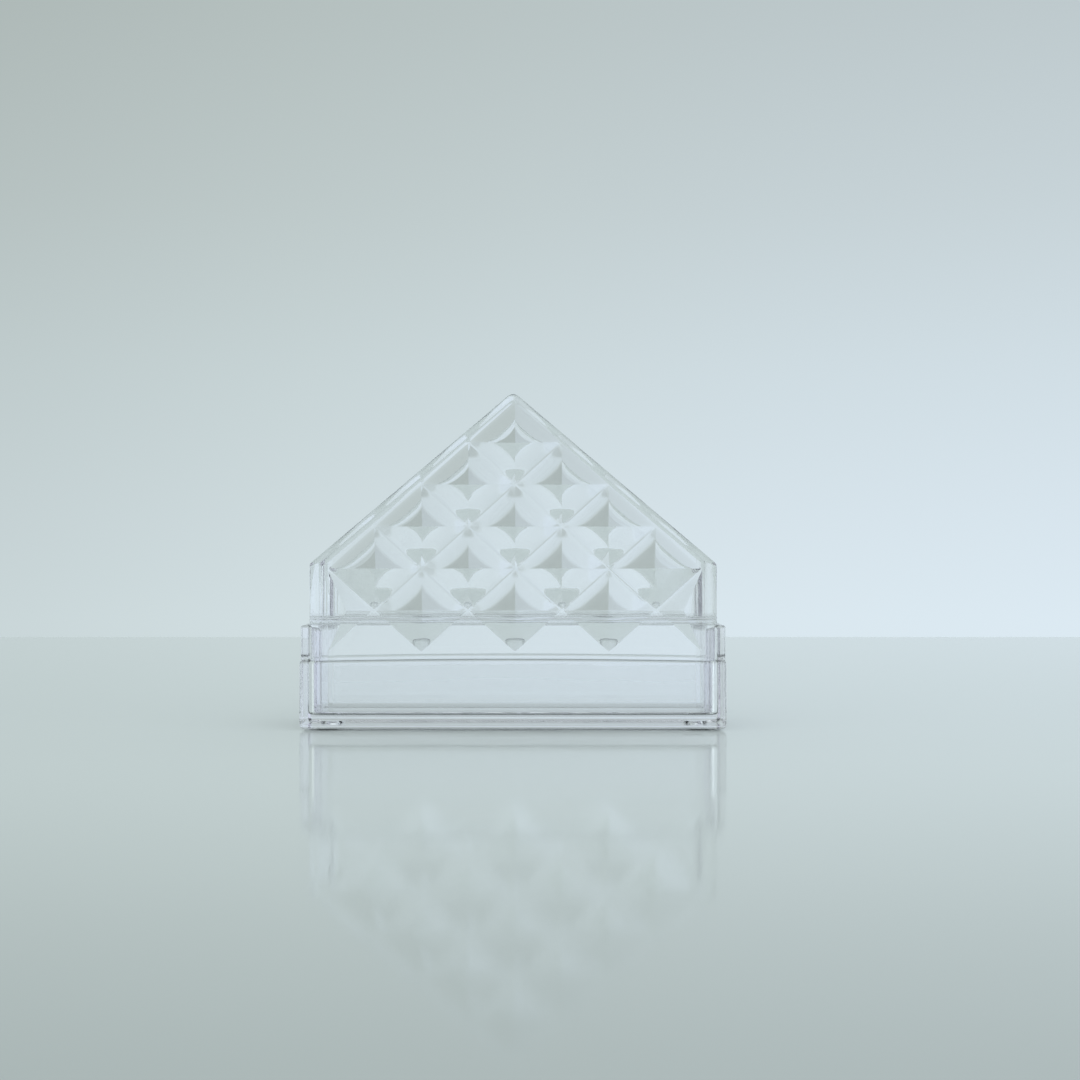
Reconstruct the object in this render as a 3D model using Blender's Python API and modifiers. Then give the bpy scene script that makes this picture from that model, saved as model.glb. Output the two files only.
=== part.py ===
"""A clear gabled holder: two faceted panels on a floored slot, standing in a low clear tray.

Millimetres are turned into metres by MM. X runs along the long side, Y from front to back
(the front faces -Y) and Z up. The origin is the middle of the underside, on the table.
"""

import math

import bmesh
import bpy
from mathutils import Matrix, Vector

MM = 0.001
GAP = 0.3 * MM  # clearance left between two pieces that touch

# Tray
TRAY_WIDTH = 150.0 * MM
TRAY_DEPTH = 40.6 * MM
TRAY_WALL = 2.4 * MM
TRAY_UNDERSIDE = 0.6 * MM
TRAY_FLOOR_TOP = 5.2 * MM
LONG_RIM = 24.2 * MM  # top of the front and back walls
END_RIM = 36.7 * MM  # top of the two end walls
TRAY_ROUND = 2.0 * MM

# Holder
HOLDER_WIDTH = TRAY_WIDTH - 2 * (TRAY_WALL + GAP)
HOLDER_DEPTH = TRAY_DEPTH - 2 * (TRAY_WALL + GAP)
HOLDER_BOTTOM = TRAY_FLOOR_TOP + GAP
PANEL_THICKNESS = 6.5 * MM
SHOULDER_HEIGHT = 58.1 * MM
GABLE_PITCH = math.radians(40.3)
APEX_ROUND = 3.0 * MM
SHOULDER_ROUND = 2.5 * MM
PANEL_EDGE_ROUND = 1.0 * MM
SLOT_HALF_DEPTH = HOLDER_DEPTH / 2 - PANEL_THICKNESS - GAP
SLOT_FLOOR_TOP = 39.9 * MM
SLOT_FLOOR_THICKNESS = 3.4 * MM
END_WALL_THICKNESS = 4.2 * MM
FLOOR_EDGE_ROUND = 0.4 * MM

# Facets pressed into the outer face of each panel
CELL_HALF_WIDTH = 16.54 * MM
CELL_HALF_HEIGHT = 14.86 * MM
TOP_CELL_HEIGHT = 101.4 * MM  # centre of the single cell under the apex
FULL_ROWS = 4  # rows of one to four whole cells
LAST_ROW_CELLS = 3  # whole cells of the bottom row, between two halved cells
RIDGE_WIDTH = 0.8 * MM
PIT_SLOPE = math.radians(23.0)

# Feet
FOOT_RADIUS = 4.0 * MM
FOOT_HEIGHT = 1.2 * MM
FOOT_X = 66.0 * MM
FOOT_Y = 12.5 * MM
FOOT_SIDES = 32


def clear_scene():
    """Remove every object that the file opened with."""
    for found in list(bpy.data.objects):
        bpy.data.objects.remove(found, do_unlink=True)


def new_collection(name):
    """Add a collection to the scene."""
    made = bpy.data.collections.new(name)
    bpy.context.scene.collection.children.link(made)
    return made


def clear_material(name, color, roughness, ior):
    """A see-through Principled material."""
    made = bpy.data.materials.new(name)
    made.use_nodes = True
    shader = made.node_tree.nodes["Principled BSDF"]
    shader.inputs["Base Color"].default_value = (*color, 1.0)
    shader.inputs["Roughness"].default_value = roughness
    shader.inputs["IOR"].default_value = ior
    shader.inputs["Transmission Weight"].default_value = 1.0
    return made


def to_object(name, bm, collection):
    """Turn a bmesh into a named object with outward faces."""
    bmesh.ops.recalc_face_normals(bm, faces=bm.faces)
    mesh = bpy.data.meshes.new(name)
    bm.to_mesh(mesh)
    bm.free()
    made = bpy.data.objects.new(name, mesh)
    collection.objects.link(made)
    return made


def add_box(bm, low, high):
    """Add a box between two corners and return its vertices."""
    size = [h - l for l, h in zip(low, high)]
    middle = [(h + l) / 2 for l, h in zip(low, high)]
    place = Matrix.Translation(middle) @ Matrix.Diagonal((*size, 1.0))
    return bmesh.ops.create_cube(bm, size=1.0, matrix=place)["verts"]


def box_object(name, low, high, collection):
    """A named box between two corners."""
    bm = bmesh.new()
    add_box(bm, low, high)
    return to_object(name, bm, collection)


def add_bevel(target, width, segments):
    """Round the sharp edges of an object."""
    bevel = target.modifiers.new("edge_round", "BEVEL")
    bevel.width = width
    bevel.segments = segments
    bevel.limit_method = "ANGLE"
    bevel.angle_limit = math.radians(30)


def add_cut(target, cutter):
    """Take one object away from another."""
    cut = target.modifiers.new("cut_" + cutter.name, "BOOLEAN")
    cut.operation = "DIFFERENCE"
    cut.solver = "EXACT"
    cut.object = cutter


def hide_cutter(cutter):
    """Show a cutter as wire and keep it out of renders."""
    cutter.hide_render = True
    cutter.display_type = "WIRE"


def rounded_corner(before, corner, after, radius, steps):
    """Points of the arc that rounds one corner of an outline."""
    start = (before - corner).normalized()
    end = (after - corner).normalized()
    half_angle = start.angle(end) / 2
    reach = radius / math.tan(half_angle)
    bisector = (start + end).normalized()
    centre = corner + bisector * (radius / math.sin(half_angle))
    first = corner + start * reach - centre
    last = corner + end * reach - centre
    turn = first.angle_signed(last)
    arc = []
    for step in range(steps + 1):
        angle = -turn * step / steps
        spun = Matrix.Rotation(angle, 2) @ first
        arc.append(centre + spun)
    return arc


def gable_outline():
    """The outline of a panel in X and Z: square foot, rounded shoulders, rounded apex."""
    half = HOLDER_WIDTH / 2
    apex = Vector((0.0, SHOULDER_HEIGHT + half * math.tan(GABLE_PITCH)))
    right_foot = Vector((half, HOLDER_BOTTOM))
    left_foot = Vector((-half, HOLDER_BOTTOM))
    right_shoulder = Vector((half, SHOULDER_HEIGHT))
    left_shoulder = Vector((-half, SHOULDER_HEIGHT))
    points = [right_foot]
    points += rounded_corner(right_foot, right_shoulder, apex, SHOULDER_ROUND, 4)
    points += rounded_corner(right_shoulder, apex, left_shoulder, APEX_ROUND, 8)
    points += rounded_corner(apex, left_shoulder, left_foot, SHOULDER_ROUND, 4)
    points.append(left_foot)
    return points


def cell_centres():
    """Centres of the whole cells in X and Z, row by row from the apex down."""
    for row in range(FULL_ROWS + 1):
        across = row + 1 if row < FULL_ROWS else LAST_ROW_CELLS
        for place in range(across):
            yield (2 * place - across + 1) * CELL_HALF_WIDTH, TOP_CELL_HEIGHT - row * CELL_HALF_HEIGHT


def cell_outlines():
    """Corners, deepest place and inner radius of every cell, before the ridges are left standing."""
    edge = math.hypot(CELL_HALF_WIDTH, CELL_HALF_HEIGHT)
    radius = CELL_HALF_WIDTH * CELL_HALF_HEIGHT / edge
    for x, z in cell_centres():
        across = [(x - CELL_HALF_WIDTH, z), (x + CELL_HALF_WIDTH, z)]
        yield across + [(x, z - CELL_HALF_HEIGHT), (x, z + CELL_HALF_HEIGHT)], (x, z), radius
    low = TOP_CELL_HEIGHT - FULL_ROWS * CELL_HALF_HEIGHT
    radius = CELL_HALF_WIDTH * CELL_HALF_HEIGHT / (edge + CELL_HALF_HEIGHT)
    for side in (-1, 1):
        end = side * FULL_ROWS * CELL_HALF_WIDTH
        corners = [(end, low + CELL_HALF_HEIGHT), (end, low - CELL_HALF_HEIGHT)]
        yield corners + [(end - side * CELL_HALF_WIDTH, low)], (end - side * radius, low), radius


def pit_cutter(name, side, collection):
    """All the pits of one panel: each is a many-sided point that narrows inward."""
    face = side * HOLDER_DEPTH / 2
    outside = face + side * 1.0 * MM
    bm = bmesh.new()
    for corners, (middle_x, middle_z), radius in cell_outlines():
        shrink = 1 - RIDGE_WIDTH / 2 / radius
        depth = radius * shrink * math.tan(PIT_SLOPE)
        verts = [bm.verts.new((middle_x, face - side * depth, middle_z))]
        for x, z in corners:
            place = (middle_x + (x - middle_x) * shrink, middle_z + (z - middle_z) * shrink)
            verts += [bm.verts.new((place[0], y, place[1])) for y in (outside, face)]
        hull = bmesh.ops.convex_hull(bm, input=verts)
        unused = [item for item in hull["geom_interior"] if isinstance(item, bmesh.types.BMVert)]
        bmesh.ops.delete(bm, geom=unused, context="VERTS")
    cutter = to_object(name, bm, collection)
    hide_cutter(cutter)
    return cutter


def gabled_panel(name, side, collection, cutters):
    """One panel; side is -1 for the front and 1 for the back."""
    outer = side * HOLDER_DEPTH / 2
    bm = bmesh.new()
    outline = [bm.verts.new((x, outer, z)) for x, z in gable_outline()]
    face = bm.faces.new(outline)
    grown = bmesh.ops.extrude_face_region(bm, geom=[face])["geom"]
    moved = [item for item in grown if isinstance(item, bmesh.types.BMVert)]
    bmesh.ops.translate(bm, verts=moved, vec=(0, -side * PANEL_THICKNESS, 0))
    panel = to_object(name, bm, collection)
    add_bevel(panel, PANEL_EDGE_ROUND, 2)
    add_cut(panel, pit_cutter(name + "_pits", side, cutters))
    return panel


def end_wall(name, side, collection):
    """A wall that closes the holder's hollow foot at one end."""
    outer = side * HOLDER_WIDTH / 2
    inner = outer - side * END_WALL_THICKNESS
    low = (min(outer, inner), -SLOT_HALF_DEPTH, HOLDER_BOTTOM)
    top = SLOT_FLOOR_TOP - SLOT_FLOOR_THICKNESS - GAP
    high = (max(outer, inner), SLOT_HALF_DEPTH, top)
    wall = box_object(name, low, high, collection)
    add_bevel(wall, FLOOR_EDGE_ROUND, 2)
    return wall


def slot_floor(collection):
    """The shelf between the panels that the contents stand on."""
    half = HOLDER_WIDTH / 2
    low = (-half, -SLOT_HALF_DEPTH, SLOT_FLOOR_TOP - SLOT_FLOOR_THICKNESS)
    high = (half, SLOT_HALF_DEPTH, SLOT_FLOOR_TOP)
    shelf = box_object("slot_floor", low, high, collection)
    add_bevel(shelf, FLOOR_EDGE_ROUND, 2)
    return shelf


def foot_places():
    """Name, X and Y of each foot."""
    for depth_name, depth_side in (("front", -1), ("back", 1)):
        for width_name, width_side in (("left", -1), ("right", 1)):
            name = "foot_" + depth_name + "_" + width_name
            yield name, width_side * FOOT_X, depth_side * FOOT_Y


def add_disc(bm, x, y, radius, low, high):
    """Add an upright cylinder."""
    place = Matrix.Translation((x, y, (low + high) / 2))
    bmesh.ops.create_cone(
        bm, cap_ends=True, segments=FOOT_SIDES, radius1=radius, radius2=radius,
        depth=high - low, matrix=place,
    )


def foot(name, x, y, collection):
    """A thin round foot that sits in a shallow recess under the tray."""
    bm = bmesh.new()
    add_disc(bm, x, y, FOOT_RADIUS, 0.0, FOOT_HEIGHT)
    return to_object(name, bm, collection)


def foot_recess_cutter(collection):
    """The four shallow recesses under the tray."""
    bm = bmesh.new()
    for _, x, y in foot_places():
        add_disc(bm, x, y, FOOT_RADIUS + GAP, 0.0, FOOT_HEIGHT + GAP)
    cutter = to_object("foot_recesses", bm, collection)
    hide_cutter(cutter)
    return cutter


def tray_cavity_cutter(collection):
    """The hollow that the holder stands in."""
    half_width = TRAY_WIDTH / 2 - TRAY_WALL
    half_depth = TRAY_DEPTH / 2 - TRAY_WALL
    low = (-half_width, -half_depth, TRAY_FLOOR_TOP)
    high = (half_width, half_depth, END_RIM + 5 * MM)
    cutter = box_object("tray_cavity", low, high, collection)
    hide_cutter(cutter)
    return cutter


def long_rim_cutter(collection):
    """What lowers the front and back walls below the end walls."""
    inner = TRAY_DEPTH / 2 - TRAY_WALL
    reach = TRAY_WIDTH
    bm = bmesh.new()
    for side in (-1, 1):
        edges = sorted((side * inner, side * TRAY_DEPTH))
        add_box(bm, (-reach, edges[0], LONG_RIM), (reach, edges[1], END_RIM + 5 * MM))
    cutter = to_object("long_rim_drop", bm, collection)
    hide_cutter(cutter)
    return cutter


def base_tray(collection, cutters):
    """The low clear tray, with end walls that stand higher than its long walls."""
    low = (-TRAY_WIDTH / 2, -TRAY_DEPTH / 2, TRAY_UNDERSIDE)
    high = (TRAY_WIDTH / 2, TRAY_DEPTH / 2, END_RIM)
    tray = box_object("base_tray", low, high, collection)
    add_bevel(tray, TRAY_ROUND, 4)
    add_cut(tray, tray_cavity_cutter(cutters))
    add_cut(tray, long_rim_cutter(cutters))
    add_cut(tray, foot_recess_cutter(cutters))
    return tray


def give_material(piece, color, roughness, ior):
    """Give a piece its own material, named after it."""
    piece.data.materials.append(clear_material(piece.name + "_material", color, roughness, ior))


def build():
    """Make every piece of the holder."""
    clear_scene()
    pieces = new_collection("pick_holder")
    cutters = new_collection("cutters")
    crystal = (0.97, 0.975, 0.985)
    silicone = (0.93, 0.94, 0.95)
    clear_pieces = [
        base_tray(pieces, cutters),
        gabled_panel("front_panel", -1, pieces, cutters),
        gabled_panel("back_panel", 1, pieces, cutters),
        end_wall("left_end_wall", -1, pieces),
        end_wall("right_end_wall", 1, pieces),
        slot_floor(pieces),
    ]
    for piece in clear_pieces:
        give_material(piece, crystal, 0.02, 1.49)
    for name, x, y in foot_places():
        give_material(foot(name, x, y, pieces), silicone, 0.35, 1.41)


build()
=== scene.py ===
"""The looks of the clear gabled holder: fine faceted glass pieces on a pale glossy table."""

import math

import bmesh
import bpy
from mathutils import Matrix, Vector


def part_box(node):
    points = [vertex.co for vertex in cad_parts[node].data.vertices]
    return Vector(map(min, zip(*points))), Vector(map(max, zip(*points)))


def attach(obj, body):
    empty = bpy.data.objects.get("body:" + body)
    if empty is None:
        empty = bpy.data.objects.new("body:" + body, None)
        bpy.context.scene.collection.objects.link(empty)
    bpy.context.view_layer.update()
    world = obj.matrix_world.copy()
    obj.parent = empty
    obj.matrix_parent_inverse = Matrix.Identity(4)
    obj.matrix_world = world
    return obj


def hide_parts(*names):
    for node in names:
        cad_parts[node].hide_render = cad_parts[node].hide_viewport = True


MM = 0.001
GLASS_IOR = 1.54
GLASS_COLOR = (0.99, 0.995, 1.0)
TRAY_COLOR = (0.99, 0.99, 1.0)
GLASS_HAZE = 0.01  # the most roughness
RIPPLE_SPREAD = 12.0  # keeps the ripples of a wall's two faces apart
THICK_TINT = (0.66, 0.58, 0.72)  # what long paths through the glass turn to
TINT_DENSITY = 4.0
END_TINT_DENSITY = 14.0  # denser than the same glass would be, only for the look
PLAIN_RIPPLE = (60.0, 0.02 * MM)  # scale and height
TRAY_RIPPLE = (22.0, 0.10 * MM)

# Facets: four-sided pits on a diagonal grid
CELL_HALF_WIDTH = 16.54 * MM
CELL_HALF_HEIGHT = 14.86 * MM
TOP_CELL_HEIGHT = 101.4 * MM
FULL_ROWS = 4  # rows of one to four whole cells
LAST_ROW_CELLS = 3  # whole cells of the bottom row, between two halved cells
RIDGE_WIDTH = 0.5 * MM
PIT_STEPS = 14
PIT_STEP_POWER = 1.35  # steps get finer toward the ridge

DISH = 0.4  # how far the facets are dished beside the creases
PIT_LID = 1.0 * MM  # how far the pits' cutters stand out of the panel's face

# Slope, ridge rounding, width of the dishing (in cells) and grid shift of each panel's pits
FRONT_PITS = (math.radians(24.2), 0.9 * MM, 0.05, (0.7 * MM, 0.0))
BACK_PITS = (math.radians(24.2), 1.7 * MM, 0.05, (-0.8 * MM, 1.5 * MM))
END_PIT_SHARE = 0.55  # how steep the three-sided end pits are beside the whole ones

# Panels and the plain parts of the holder
PANEL_EDGE_ROUND = 1.9 * MM
PANEL_EDGE_PROFILE = 0.34  # from 0.25, a flat chamfer, to 0.5, a round
PANEL_CORNER_ROUND = 4.8 * MM  # the upright corners of the holder
CORNER_STEPS = 12
FRONT_CREASE = 12  # degrees; sharper edges than this stay crisp
BACK_CREASE = 45
SHOULDER_HEIGHT = 58.1 * MM
GABLE_PITCH = math.radians(40.3)
APEX_ROUND = 3.0 * MM
SHOULDER_ROUND = 2.5 * MM
HOLLOW_TOP = 36.0 * MM
HOLLOW_DRAFT = math.radians(1.75)  # the hollow foot widens downward
END_WALL_ROUND = 1.8 * MM
FLOOR_ROUND = 1.5 * MM

# Tray
TRAY_WALL = 2.4 * MM
TRAY_FLOOR_TOP = 5.2 * MM
LONG_RIM = 24.2 * MM
RIM_BOW = 1.0 * MM  # how much higher the long rims stand at the middle
END_RIM_INSET = 1.5 * MM  # how far the high ends stop inside the long walls
TRAY_ROUND = 1.4 * MM
RIM_ROUND = 0.8 * MM
CAVITY_ROUND = 1.2 * MM
CAVITY_CORNER_ROUND = 5.5 * MM
TRAY_HALF_REACH = 80.0 * MM  # half the length over which the rims bow
RIM_STEPS = 24
FOOT_DOME = 0.45  # the rounding of a foot's edges, beside its height
FOOT_RECESS_GAP = 0.1 * MM
FOOT_RECESS_FLARE = 1.0 * MM  # how much wider the recess is at its mouth

# Cutters reach past what they cut
CUT_PAST = 2.0 * MM
CUT_HEIGHTS = (-10.0 * MM, 200.0 * MM)
CUT_HALF_WIDTH = 100.0 * MM
DRAFT_PAST = 5.0 * MM
CAVITY_PAST = 15.0 * MM  # how much too high the tray starts out

# Shading: planes facing front or back stay exactly flat
FLAT_FACING = 0.9999
FLAT_ANGLE = math.radians(0.5)

# Camera and setting
CAMERA_DISTANCE = 560.0 * MM  # from the eye to the front of the tray
CAMERA_SIDE = 9.5 * MM
CAMERA_HEIGHT = 66.9 * MM
VIEW_WIDTH = 378.5 * MM  # what the view spans at the front of the tray
CAMERA_SENSOR = 36.0
TABLE_DROP = 34.0 * MM  # the table's far edge, below the eye line at the front of the tray
TABLE_HALF_WIDTH = 3.0
TABLE_NEAR_EDGE = -3.5
TABLE_COLOR = (0.90, 0.925, 0.92)
# painted shade: the darker colour the table turns to near the camera, in place of light falling off
TABLE_PAINTED_SHADE_COLOR = (0.62, 0.64, 0.635)
TABLE_PAINTED_SHADE_FADE = (-0.46, -0.12)  # metres from the object, over which the painted shade toward the near edge fades out

# Light from each direction, by its Z, X and Y parts, from -1 to 1; the three are multiplied
LIGHT_STRENGTH = 4.0
HEIGHT_STOPS = [
    (-0.60, (0.235, 0.270, 0.270)),
    (-0.05, (0.336, 0.385, 0.410)),
    (0.012, (0.322, 0.368, 0.392)),
    (0.105, (0.298, 0.342, 0.360)),
    (0.20, (0.268, 0.306, 0.316)),
    (0.31, (0.241, 0.275, 0.280)),
    (0.60, (0.205, 0.236, 0.238)),
    (1.0, (0.255, 0.285, 0.288)),
]
SIDE_STOPS = [
    (-1.0, (0.70, 0.70, 0.67)),
    (-0.64, (0.74, 0.74, 0.71)),
    (-0.31, (0.80, 0.80, 0.77)),
    (-0.15, (0.87, 0.87, 0.845)),
    (0.0, (0.92, 0.92, 0.91)),
    (0.15, (0.95, 0.95, 0.96)),
    (0.31, (0.97, 0.97, 0.99)),
    (1.0, (1.0, 1.0, 1.0)),
]
DEPTH_STOPS = [
    (-1.0, (0.62, 0.62, 0.62)),
    (-0.9, (0.68, 0.68, 0.68)),
    (-0.6, (1.0, 1.0, 1.0)),
    (-0.2, (1.0, 1.0, 1.0)),
    (0.15, (0.55, 0.55, 0.55)),
    (1.0, (0.55, 0.55, 0.55)),
]

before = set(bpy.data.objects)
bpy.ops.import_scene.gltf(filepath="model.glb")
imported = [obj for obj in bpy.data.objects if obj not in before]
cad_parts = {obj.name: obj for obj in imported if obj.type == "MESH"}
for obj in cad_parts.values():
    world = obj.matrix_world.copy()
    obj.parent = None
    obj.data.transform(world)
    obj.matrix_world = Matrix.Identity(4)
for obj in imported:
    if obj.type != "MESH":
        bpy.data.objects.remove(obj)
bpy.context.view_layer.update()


# Nodes and materials

def new_material(name):
    """An empty node material with its output."""
    made = bpy.data.materials.new(name)
    made.use_nodes = True
    made.node_tree.nodes.clear()
    output = made.node_tree.nodes.new("ShaderNodeOutputMaterial")
    return made, made.node_tree, output


def add_node(tree, kind, **values):
    """Add a node and set its inputs by name."""
    made = tree.nodes.new(kind)
    for name, value in values.items():
        made.inputs[name.replace("_", " ")].default_value = value
    return made


def glass_material(name, tint, ripple_scale, ripple_height, absorb):
    """Clear pressed glass: a slow surface ripple, a trace of haze, most of its colour in the thickness."""
    made, tree, output = new_material(name)
    place = add_node(tree, "ShaderNodeTexCoord")
    spread = tree.nodes.new("ShaderNodeVectorMath")
    spread.operation = "MULTIPLY"
    spread.inputs[1].default_value = (1.0, RIPPLE_SPREAD, 1.0)
    ripple = add_node(tree, "ShaderNodeTexNoise", Scale=ripple_scale, Detail=1.0, Roughness=0.4)
    haze_noise = add_node(tree, "ShaderNodeTexNoise", Scale=ripple_scale * 3, Detail=3.0)
    haze_range = add_node(tree, "ShaderNodeMapRange")
    haze_range.inputs["To Min"].default_value = 0.0
    haze_range.inputs["To Max"].default_value = GLASS_HAZE
    bump = add_node(tree, "ShaderNodeBump", Strength=1.0, Distance=ripple_height)
    shader = add_node(tree, "ShaderNodeBsdfPrincipled", IOR=GLASS_IOR)
    shader.inputs["Base Color"].default_value = (*tint, 1.0)
    shader.inputs["Transmission Weight"].default_value = 1.0
    volume = add_node(tree, "ShaderNodeVolumeAbsorption", Density=absorb)
    volume.inputs["Color"].default_value = (*THICK_TINT, 1.0)
    link = tree.links.new
    link(place.outputs["Object"], spread.inputs[0])
    link(spread.outputs["Vector"], ripple.inputs["Vector"])
    link(place.outputs["Object"], haze_noise.inputs["Vector"])
    link(haze_noise.outputs["Fac"], haze_range.inputs["Value"])
    link(haze_range.outputs["Result"], shader.inputs["Roughness"])
    link(ripple.outputs["Fac"], bump.inputs["Height"])
    link(bump.outputs["Normal"], shader.inputs["Normal"])
    link(shader.outputs["BSDF"], output.inputs["Surface"])
    link(volume.outputs["Volume"], output.inputs["Volume"])
    return made


def foot_material():
    """Clear soft bumper with a slightly frosted skin."""
    made, tree, output = new_material("clear_foot")
    place = add_node(tree, "ShaderNodeTexCoord")
    grain = add_node(tree, "ShaderNodeTexNoise", Scale=900.0, Detail=2.0)
    bump = add_node(tree, "ShaderNodeBump", Strength=0.4, Distance=0.05 * MM)
    shader = add_node(tree, "ShaderNodeBsdfPrincipled", IOR=1.41, Roughness=0.2)
    shader.inputs["Base Color"].default_value = (0.93, 0.94, 0.95, 1.0)
    shader.inputs["Transmission Weight"].default_value = 1.0
    link = tree.links.new
    link(place.outputs["Object"], grain.inputs["Vector"])
    link(grain.outputs["Fac"], bump.inputs["Height"])
    link(bump.outputs["Normal"], shader.inputs["Normal"])
    link(shader.outputs["BSDF"], output.inputs["Surface"])
    return made


def table_material():
    """Pale glossy table top, with painted shade that darkens it toward the near edge."""
    made, tree, output = new_material("table_top")
    place = add_node(tree, "ShaderNodeTexCoord")
    parts = add_node(tree, "ShaderNodeSeparateXYZ")
    # painted shade: the top darkens toward the near edge
    painted_shade_fade = add_node(tree, "ShaderNodeMapRange")
    painted_shade_fade.interpolation_type = "SMOOTHSTEP"
    painted_shade_fade.inputs["From Min"].default_value = TABLE_PAINTED_SHADE_FADE[0]
    painted_shade_fade.inputs["From Max"].default_value = TABLE_PAINTED_SHADE_FADE[1]
    mix = tree.nodes.new("ShaderNodeMix")
    mix.data_type = "RGBA"
    mix.inputs[6].default_value = (*TABLE_PAINTED_SHADE_COLOR, 1.0)
    mix.inputs[7].default_value = (*TABLE_COLOR, 1.0)
    shader = add_node(tree, "ShaderNodeBsdfPrincipled", IOR=1.7, Roughness=0.07)
    link = tree.links.new
    link(place.outputs["Object"], parts.inputs["Vector"])
    link(parts.outputs["Y"], painted_shade_fade.inputs["Value"])
    link(painted_shade_fade.outputs["Result"], mix.inputs["Factor"])
    link(mix.outputs[2], shader.inputs["Base Color"])
    link(shader.outputs["BSDF"], output.inputs["Surface"])
    return made


# Mesh helpers

def to_object(name, bm):
    """Turn a bmesh into a named object with outward faces."""
    bmesh.ops.recalc_face_normals(bm, faces=bm.faces)
    mesh = bpy.data.meshes.new(name)
    bm.to_mesh(mesh)
    bm.free()
    made = bpy.data.objects.new(name, mesh)
    bpy.context.scene.collection.objects.link(made)
    return made


def add_box(bm, low, high):
    """Add a box between two corners."""
    size = [h - l for l, h in zip(low, high)]
    middle = [(h + l) / 2 for l, h in zip(low, high)]
    place = Matrix.Translation(middle) @ Matrix.Diagonal((*size, 1.0))
    return bmesh.ops.create_cube(bm, size=1.0, matrix=place)["verts"]


def box_object(name, low, high):
    """A named box between two corners."""
    bm = bmesh.new()
    add_box(bm, low, high)
    return to_object(name, bm)


def add_bevel(target, width, segments, angle=30):
    """Round the sharp edges of an object."""
    bevel = target.modifiers.new("edge_round", "BEVEL")
    bevel.width = width
    bevel.segments = segments
    bevel.limit_method = "ANGLE"
    bevel.angle_limit = math.radians(angle)
    bevel.use_clamp_overlap = False
    return bevel


def add_cut(target, cutter):
    """Take one object away from another."""
    cut = target.modifiers.new("cut_" + cutter.name, "BOOLEAN")
    cut.operation = "DIFFERENCE"
    cut.solver = "EXACT"
    cut.object = cutter


def apply_modifiers(target):
    """Replace an object's mesh by what its modifiers make of it."""
    graph = bpy.context.evaluated_depsgraph_get()
    ready = bpy.data.meshes.new_from_object(
        target.evaluated_get(graph), preserve_all_data_layers=True, depsgraph=graph,
    )
    target.modifiers.clear()
    old = target.data
    target.data = ready
    ready.name = target.name
    bpy.data.meshes.remove(old)


def settle(target, cutters=()):
    """Apply the modifiers, remove the cutters and merge doubled vertices."""
    apply_modifiers(target)
    for cutter in cutters:
        bpy.data.objects.remove(cutter, do_unlink=True)
    bm = bmesh.new()
    bm.from_mesh(target.data)
    bmesh.ops.remove_doubles(bm, verts=bm.verts, dist=0.002 * MM)
    bm.to_mesh(target.data)
    bm.free()


def polish(target, crease):
    """Shade smooth up to the crease angle, but keep every plane that faces front or back flat."""
    mesh = target.data
    mesh.shade_smooth()
    mesh.set_sharp_from_angle(angle=math.radians(crease))
    bm = bmesh.new()
    bm.from_mesh(mesh)
    for edge in bm.edges:
        if len(edge.link_faces) == 2:
            facing = max(abs(face.normal.y) for face in edge.link_faces)
            if facing > FLAT_FACING and edge.calc_face_angle(0.0) > FLAT_ANGLE:
                edge.smooth = False
    bm.to_mesh(mesh)
    bm.free()
    weighted = target.modifiers.new("even_shading", "WEIGHTED_NORMAL")
    weighted.mode = "FACE_AREA"
    weighted.weight = 50
    weighted.keep_sharp = True
    apply_modifiers(target)


def stand_in(piece, node, body, material):
    """Let a piece ride on a body in place of a CAD node."""
    piece.data.materials.clear()
    piece.data.materials.append(material)
    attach(piece, body)
    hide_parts(node)


# Panels

def rounded_corner(before, corner, after, radius, steps):
    """Points of the arc that rounds one corner of an outline."""
    start = (before - corner).normalized()
    end = (after - corner).normalized()
    half_angle = start.angle(end) / 2
    reach = radius / math.tan(half_angle)
    bisector = (start + end).normalized()
    centre = corner + bisector * (radius / math.sin(half_angle))
    first = corner + start * reach - centre
    last = corner + end * reach - centre
    turn = first.angle_signed(last)
    return [centre + Matrix.Rotation(-turn * step / steps, 2) @ first for step in range(steps + 1)]


def gable_outline(half, bottom):
    """The outline of a panel in X and Z."""
    apex = Vector((0.0, SHOULDER_HEIGHT + half * math.tan(GABLE_PITCH)))
    right_foot = Vector((half, bottom))
    left_foot = Vector((-half, bottom))
    right_shoulder = Vector((half, SHOULDER_HEIGHT))
    left_shoulder = Vector((-half, SHOULDER_HEIGHT))
    points = [right_foot]
    points += rounded_corner(right_foot, right_shoulder, apex, SHOULDER_ROUND, 10)
    points += rounded_corner(right_shoulder, apex, left_shoulder, APEX_ROUND, 20)
    points += rounded_corner(apex, left_shoulder, left_foot, SHOULDER_ROUND, 10)
    points.append(left_foot)
    return points


def cell_centres():
    """Centres of the whole cells in X and Z, row by row from the apex down."""
    for row in range(FULL_ROWS + 1):
        across = row + 1 if row < FULL_ROWS else LAST_ROW_CELLS
        for place in range(across):
            yield (2 * place - across + 1) * CELL_HALF_WIDTH, TOP_CELL_HEIGHT - row * CELL_HALF_HEIGHT


def eased_depth(reach, slope, ridge_round):
    """Depth at a distance in from a ridge, easing in from the ridge's rounding."""
    return math.tan(slope) * (reach + math.hypot(reach, ridge_round) - ridge_round) / 2


def pit_depth(u, v, radius, slope, ridge_round, dish_width):
    """Depth of a whole cell's pit where u and v run from -1 to 1 between its ridges."""
    sharp = max(abs(u), abs(v))
    soft = (abs(u) + abs(v) + math.hypot(abs(u) - abs(v), 2 * dish_width)) / 2
    level = sharp + DISH * (soft - sharp)
    return eased_depth((1 - level) * radius, slope, ridge_round)


def pit_steps():
    """Positions from -1 to 1 across a pit."""
    half = [1 - (1 - step / PIT_STEPS) ** PIT_STEP_POWER for step in range(PIT_STEPS + 1)]
    return [-value for value in reversed(half[1:])] + half


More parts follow.
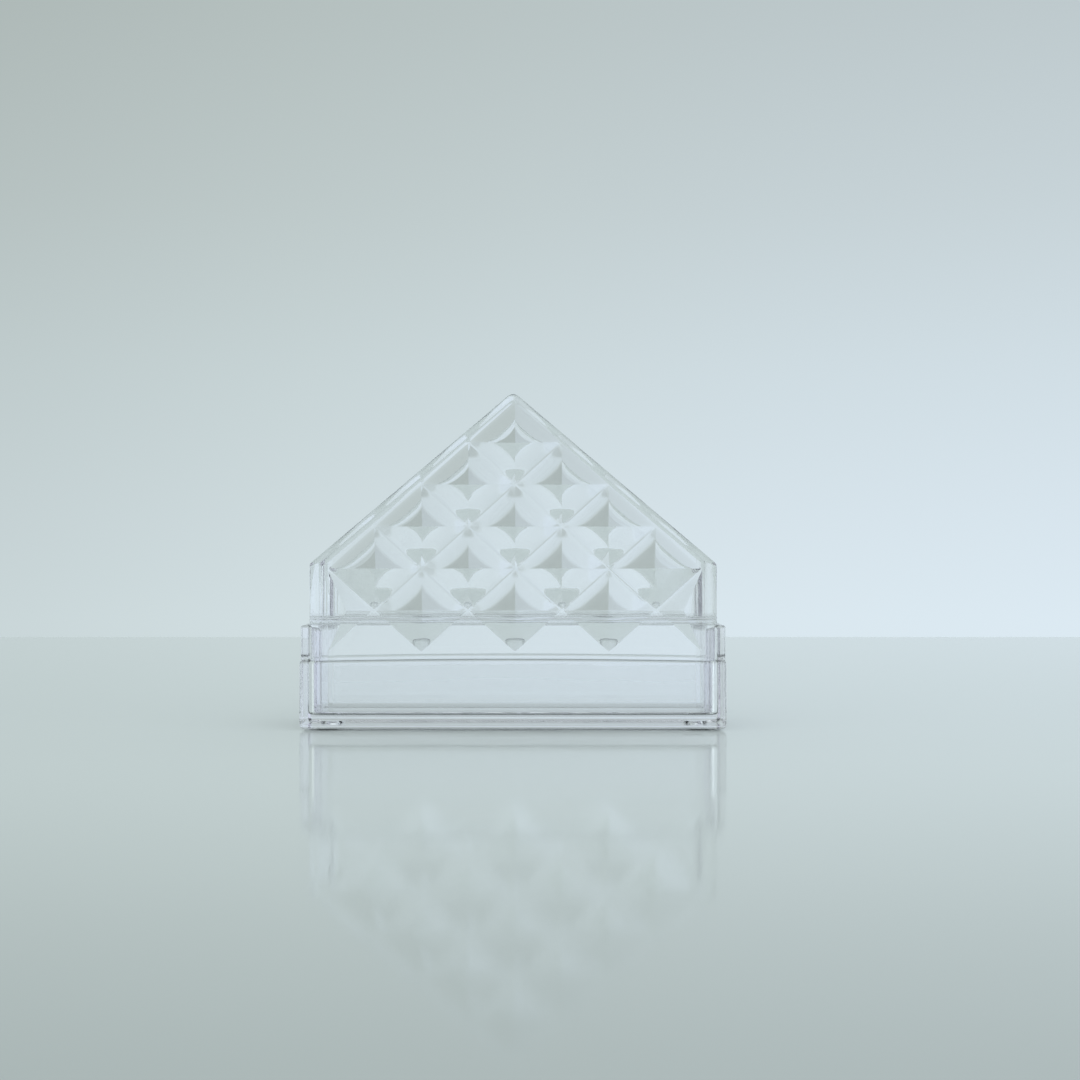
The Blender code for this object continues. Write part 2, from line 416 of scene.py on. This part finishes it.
def pit_surface(bm, centre_x, centre_z, face, side, pits):
    """One pit's cutter: a four-sided bowl of fine facets, closed by a lid outside the panel."""
    slope, ridge_round, dish_width, _ = pits
    radius = CELL_HALF_WIDTH * CELL_HALF_HEIGHT / math.hypot(CELL_HALF_WIDTH, CELL_HALF_HEIGHT)
    shrink = 1 - RIDGE_WIDTH / 2 / radius
    lid = face + side * PIT_LID
    steps = pit_steps()
    grid = []
    for u in steps:
        line = []
        for v in steps:
            x = centre_x + (u - v) / 2 * CELL_HALF_WIDTH * shrink
            z = centre_z + (u + v) / 2 * CELL_HALF_HEIGHT * shrink
            depth = pit_depth(u, v, radius, slope, ridge_round, dish_width)
            line.append(bm.verts.new((x, face - side * depth, z)))
        grid.append(line)
    last = PIT_STEPS * 2
    for row in range(last):
        for column in range(last):
            corners = [grid[row][column], grid[row + 1][column]]
            corners += [grid[row + 1][column + 1], grid[row][column + 1]]
            first = 0 if (row < PIT_STEPS) == (column < PIT_STEPS) else 1
            turned = corners[first:] + corners[:first]
            bm.faces.new((turned[0], turned[1], turned[2]))
            bm.faces.new((turned[0], turned[2], turned[3]))
    rim = [grid[row][0] for row in range(last)]
    rim += [grid[last][column] for column in range(last)]
    rim += [grid[row][last] for row in range(last, 0, -1)]
    rim += [grid[0][column] for column in range(last, 0, -1)]
    top = [bm.verts.new((vert.co.x, lid, vert.co.z)) for vert in rim]
    for step in range(len(rim)):
        after = (step + 1) % len(rim)
        bm.faces.new((rim[step], rim[after], top[after], top[step]))
    bm.faces.new(top)


def half_cell(bm, side_x, face, side, pits):
    """The cutter of the three-sided pit at one end of the bottom row, in rings from rim to middle."""
    slope, ridge_round, _, shift = pits
    slope *= END_PIT_SHARE
    edge = math.hypot(CELL_HALF_WIDTH, CELL_HALF_HEIGHT)
    radius = CELL_HALF_WIDTH * CELL_HALF_HEIGHT / (edge + CELL_HALF_HEIGHT)
    end = shift[0] + side_x * FULL_ROWS * CELL_HALF_WIDTH
    low = shift[1] + TOP_CELL_HEIGHT - FULL_ROWS * CELL_HALF_HEIGHT
    middle = Vector((end - side_x * radius, low))
    corners = [Vector((end, low + CELL_HALF_HEIGHT)), Vector((end, low - CELL_HALF_HEIGHT))]
    corners.append(Vector((end - side_x * CELL_HALF_WIDTH, low)))
    shrink = 1 - RIDGE_WIDTH / 2 / radius
    rings = [(shrink, face + side * PIT_LID)]
    for value in reversed(pit_steps()[PIT_STEPS + 1:]):
        depth = eased_depth((1 - value) * radius, slope, ridge_round)
        rings.append((value * shrink, face - side * depth))
    loops = []
    for scale, y in rings:
        places = [middle + (corner - middle) * scale for corner in corners]
        loops.append([bm.verts.new((place.x, y, place.y)) for place in places])
    bottom = bm.verts.new((middle.x, face - side * eased_depth(radius, slope, ridge_round), middle.y))
    bm.faces.new(loops[0])
    for first, second in zip(loops, loops[1:]):
        for place in range(3):
            after = (place + 1) % 3
            bm.faces.new((first[place], first[after], second[after], second[place]))
    for place in range(3):
        bm.faces.new((loops[-1][place], loops[-1][(place + 1) % 3], bottom))


def pit_cutter(name, face, side, pits):
    """All the pits of one panel."""
    shift_x, shift_z = pits[3]
    bm = bmesh.new()
    for centre_x, centre_z in cell_centres():
        pit_surface(bm, centre_x + shift_x, centre_z + shift_z, face, side, pits)
    for side_x in (-1, 1):
        half_cell(bm, side_x, face, side, pits)
    return to_object(name, bm)


def draft_cutter(name, inner, outward, bottom):
    """The wedge that thins a panel downward beside the hollow foot."""
    low = bottom - DRAFT_PAST
    reach = outward * (HOLLOW_TOP - low) * math.tan(HOLLOW_DRAFT)
    past = inner - outward * DRAFT_PAST
    bm = bmesh.new()
    profile = [(inner, HOLLOW_TOP), (past, HOLLOW_TOP), (past, low), (inner + reach, low)]
    ends = [[bm.verts.new((x, y, z)) for y, z in profile] for x in (-CUT_HALF_WIDTH, CUT_HALF_WIDTH)]
    for end in ends:
        bm.faces.new(end)
    for step in range(4):
        after = (step + 1) % 4
        bm.faces.new((ends[0][step], ends[0][after], ends[1][after], ends[1][step]))
    return to_object(name, bm)


def corner_cutter(name, half_width, outer, side):
    """What rounds the holder's upright corners: a square prism with a quarter round left out."""
    bm = bmesh.new()
    for end in (-1, 1):
        middle = (end * (half_width - PANEL_CORNER_ROUND), outer - side * PANEL_CORNER_ROUND)
        plan = []
        for step in range(CORNER_STEPS + 1):
            angle = math.radians(90) * step / CORNER_STEPS
            reach = (math.cos(angle) * PANEL_CORNER_ROUND, math.sin(angle) * PANEL_CORNER_ROUND)
            plan.append((middle[0] + end * reach[0], middle[1] + side * reach[1]))
        plan.append((middle[0], outer + side * CUT_PAST))
        plan.append((end * (half_width + CUT_PAST), outer + side * CUT_PAST))
        plan.append((end * (half_width + CUT_PAST), middle[1]))
        loops = [[bm.verts.new((x, y, z)) for x, y in plan] for z in CUT_HEIGHTS]
        for loop in loops:
            bm.faces.new(loop)
        for place in range(len(plan)):
            after = (place + 1) % len(plan)
            bm.faces.new((loops[0][place], loops[0][after], loops[1][after], loops[1][place]))
    return to_object(name, bm)


def panel_piece(node, side, material, pits):
    """A faceted gable plate in place of one CAD panel."""
    low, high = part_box(node)
    outer, inner = (low[1], high[1]) if side < 0 else (high[1], low[1])
    bm = bmesh.new()
    outline = [bm.verts.new((p.x, outer, p.y)) for p in gable_outline(high[0], low[2])]
    face = bm.faces.new(outline)
    grown = bmesh.ops.extrude_face_region(bm, geom=[face])["geom"]
    moved = [item for item in grown if isinstance(item, bmesh.types.BMVert)]
    bmesh.ops.translate(bm, verts=moved, vec=(0, inner - outer, 0))
    panel = to_object(node + "_glass", bm)
    draft = draft_cutter(node + "_draft", inner, side, low[2])
    add_cut(panel, draft)
    settle(panel, (draft,))
    add_bevel(panel, PANEL_EDGE_ROUND, 6).profile = PANEL_EDGE_PROFILE
    corners = corner_cutter(node + "_corners", high[0], outer, side)
    add_cut(panel, corners)
    cutter = pit_cutter(node + "_pits", outer, side, pits)
    add_cut(panel, cutter)
    settle(panel, (corners, cutter))
    polish(panel, FRONT_CREASE if side < 0 else BACK_CREASE)
    stand_in(panel, node, "holder", material)


# Plain walls and tray

def plain_piece(node, material, round_width):
    """A polished slab in place of a plain part of the holder."""
    low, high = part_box(node)
    slab = box_object(node + "_glass", low, high)
    add_bevel(slab, round_width, 6)
    settle(slab)
    polish(slab, 30)
    stand_in(slab, node, "holder", material)


def rim_cutter(inner_y, outer_y, top):
    """What lowers the two long walls, leaving a rim that bows up along its length."""
    half = TRAY_HALF_REACH
    bm = bmesh.new()
    for side in (-1, 1):
        rows = []
        for step in range(RIM_STEPS + 1):
            x = half * (2 * step / RIM_STEPS - 1)
            bottom = LONG_RIM + RIM_BOW * max(0.0, 1 - (x / half) ** 2)
            corners = [(inner_y, bottom), (outer_y, bottom), (outer_y, top), (inner_y, top)]
            rows.append([bm.verts.new((x, side * y, z)) for y, z in corners])
        for first, second in zip(rows, rows[1:]):
            for place in range(4):
                after = (place + 1) % 4
                bm.faces.new((first[place], first[after], second[after], second[place]))
        bm.faces.new(rows[0])
        bm.faces.new(rows[-1])
    return to_object("rim_drop", bm)


def cavity_cutter(inner, top):
    """The hollow of the tray, with wide upright corners and a softer edge around its floor."""
    bm = bmesh.new()
    add_box(bm, (-inner[0], -inner[1], TRAY_FLOOR_TOP), (inner[0], inner[1], top))
    upright = [edge for edge in bm.edges if abs(edge.verts[0].co.z - edge.verts[1].co.z) > MM]
    bmesh.ops.bevel(
        bm, geom=upright, offset=CAVITY_CORNER_ROUND, segments=10, profile=0.5, affect="EDGES",
    )
    cavity = to_object("cavity", bm)
    add_bevel(cavity, CAVITY_ROUND, 6, angle=50)
    return cavity


def foot_recess_cutter():
    """The shallow recesses that the feet sit in."""
    bm = bmesh.new()
    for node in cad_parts:
        if node.startswith("foot_"):
            low, high = (Vector(corner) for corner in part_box(node))
            middle = (low + high) / 2
            radius = (high.x - low.x) / 2 + FOOT_RECESS_GAP
            top = high.z + FOOT_RECESS_GAP
            place = Matrix.Translation((middle.x, middle.y, top / 2))
            bmesh.ops.create_cone(
                bm, cap_ends=True, segments=48, radius1=radius + FOOT_RECESS_FLARE, radius2=radius,
                depth=top, matrix=place,
            )
    return to_object("foot_recesses", bm)


def tray_piece(material):
    """The tray: high ends, long rims that bow up, a hollow with round corners, foot recesses."""
    low, high = (Vector(corner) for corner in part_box("base_tray"))
    inner = (high.x - TRAY_WALL, high.y - TRAY_WALL)
    top = high.z + CAVITY_PAST
    body = box_object("base_tray_glass", low, (high.x, high.y, top))
    add_bevel(body, TRAY_ROUND, 6)
    half = CUT_HALF_WIDTH
    lid = box_object("end_rims", (-half, -half, high.z), (half, half, top + CUT_PAST))
    drop = rim_cutter(inner[1] - END_RIM_INSET, high.y + CUT_PAST, high.z + CUT_PAST)
    cavity = cavity_cutter(inner, top)
    add_cut(body, lid)
    add_cut(body, drop)
    add_cut(body, cavity)
    settle(body, (lid, drop, cavity))
    add_bevel(body, RIM_ROUND, 5, angle=50)
    feet = foot_recess_cutter()
    add_cut(body, feet)
    settle(body, (feet,))
    polish(body, 30)
    stand_in(body, "base_tray", "tray", material)


def foot_piece(node, material):
    """A soft round bumper with a domed edge, in place of a CAD disc."""
    low, high = (Vector(corner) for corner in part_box(node))
    middle = (low + high) / 2
    radius = (high.x - low.x) / 2
    edge = (high.z - low.z) * FOOT_DOME
    bm = bmesh.new()
    place = Matrix.Translation(middle)
    bmesh.ops.create_cone(
        bm, cap_ends=True, segments=64, radius1=radius, radius2=radius, depth=high.z - low.z, matrix=place,
    )
    piece = to_object(node + "_bumper", bm)
    add_bevel(piece, edge, 4)
    settle(piece)
    polish(piece, 40)
    stand_in(piece, node, "tray", material)


# Setting

def front_of_tray():
    """Where the tray's front face is, in Y."""
    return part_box("base_tray")[0][1]


def table():
    """A pale table that ends behind the object, where the backdrop begins."""
    eye = front_of_tray() - CAMERA_DISTANCE
    far_edge = eye + CAMERA_HEIGHT * CAMERA_DISTANCE / TABLE_DROP
    bm = bmesh.new()
    corners = [(-TABLE_HALF_WIDTH, TABLE_NEAR_EDGE), (TABLE_HALF_WIDTH, TABLE_NEAR_EDGE)]
    corners += [(TABLE_HALF_WIDTH, far_edge), (-TABLE_HALF_WIDTH, far_edge)]
    bm.faces.new([bm.verts.new((x, y, 0.0)) for x, y in corners])
    made = to_object("table_top", bm)
    made.data.materials.append(table_material())


def ramp_node(tree, stops):
    """A colour ramp over values from -1 to 1, fed through a range node."""
    scale = add_node(tree, "ShaderNodeMapRange")
    scale.inputs["From Min"].default_value = -1.0
    scale.inputs["From Max"].default_value = 1.0
    ramp = tree.nodes.new("ShaderNodeValToRGB")
    elements = ramp.color_ramp.elements
    while len(elements) > 1:
        elements.remove(elements[-1])
    for index, (value, color) in enumerate(stops):
        where = (value + 1) / 2
        element = elements[0] if index == 0 else elements.new(where)
        element.position = where
        element.color = (*color, 1.0)
    tree.links.new(scale.outputs["Result"], ramp.inputs["Fac"])
    return scale.inputs["Value"], ramp.outputs["Color"]


def multiply_node(tree, first, second):
    """Multiply two colours."""
    mix = tree.nodes.new("ShaderNodeMix")
    mix.data_type = "RGBA"
    mix.blend_type = "MULTIPLY"
    mix.inputs["Factor"].default_value = 1.0
    tree.links.new(first, mix.inputs[6])
    tree.links.new(second, mix.inputs[7])
    return mix.outputs[2]


def studio_light():
    """A soft studio all round: bright at the horizon, dimmer above, brighter right and in front."""
    world = bpy.data.worlds.new("studio")
    bpy.context.scene.world = world
    world.use_nodes = True
    tree = world.node_tree
    tree.nodes.clear()
    output = tree.nodes.new("ShaderNodeOutputWorld")
    background = add_node(tree, "ShaderNodeBackground", Strength=LIGHT_STRENGTH)
    place = tree.nodes.new("ShaderNodeTexCoord")
    parts = tree.nodes.new("ShaderNodeSeparateXYZ")
    tree.links.new(place.outputs["Generated"], parts.inputs["Vector"])
    height_in, height_color = ramp_node(tree, HEIGHT_STOPS)
    side_in, side_color = ramp_node(tree, SIDE_STOPS)
    depth_in, depth_color = ramp_node(tree, DEPTH_STOPS)
    tree.links.new(parts.outputs["Z"], height_in)
    tree.links.new(parts.outputs["X"], side_in)
    tree.links.new(parts.outputs["Y"], depth_in)
    color = multiply_node(tree, multiply_node(tree, height_color, side_color), depth_color)
    tree.links.new(color, background.inputs["Color"])
    tree.links.new(background.outputs["Background"], output.inputs["Surface"])


def camera():
    """A level camera in front of the object."""
    lens = bpy.data.cameras.new("camera")
    lens.sensor_width = CAMERA_SENSOR
    lens.lens = CAMERA_SENSOR * CAMERA_DISTANCE / VIEW_WIDTH
    lens.clip_start = 0.01
    lens.clip_end = 50.0
    made = bpy.data.objects.new("camera", lens)
    made.location = (CAMERA_SIDE, front_of_tray() - CAMERA_DISTANCE, CAMERA_HEIGHT)
    made.rotation_euler = (math.radians(90), 0, 0)
    bpy.context.scene.collection.objects.link(made)
    bpy.context.scene.camera = made


def light_paths():
    """Let light pass through every layer of the glass, and show colours as they are."""
    cycles = bpy.context.scene.cycles
    cycles.max_bounces = 32
    cycles.transmission_bounces = 32
    cycles.glossy_bounces = 16
    bpy.context.scene.view_settings.view_transform = "Standard"


def main():
    """Build the whole scene."""
    facets = glass_material("clear_facets", GLASS_COLOR, *PLAIN_RIPPLE, TINT_DENSITY)
    plain = glass_material("clear_plain", GLASS_COLOR, *PLAIN_RIPPLE, TINT_DENSITY)
    ends = glass_material("clear_ends", GLASS_COLOR, *PLAIN_RIPPLE, END_TINT_DENSITY)
    tray = glass_material("clear_tray", TRAY_COLOR, *TRAY_RIPPLE, TINT_DENSITY)
    panel_piece("front_panel", -1, facets, FRONT_PITS)
    panel_piece("back_panel", 1, facets, BACK_PITS)
    plain_piece("left_end_wall", ends, END_WALL_ROUND)
    plain_piece("right_end_wall", ends, END_WALL_ROUND)
    plain_piece("slot_floor", plain, FLOOR_ROUND)
    tray_piece(tray)
    rubber = foot_material()
    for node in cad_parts:
        if node.startswith("foot_"):
            foot_piece(node, rubber)
    table()
    studio_light()
    camera()
    light_paths()


main()
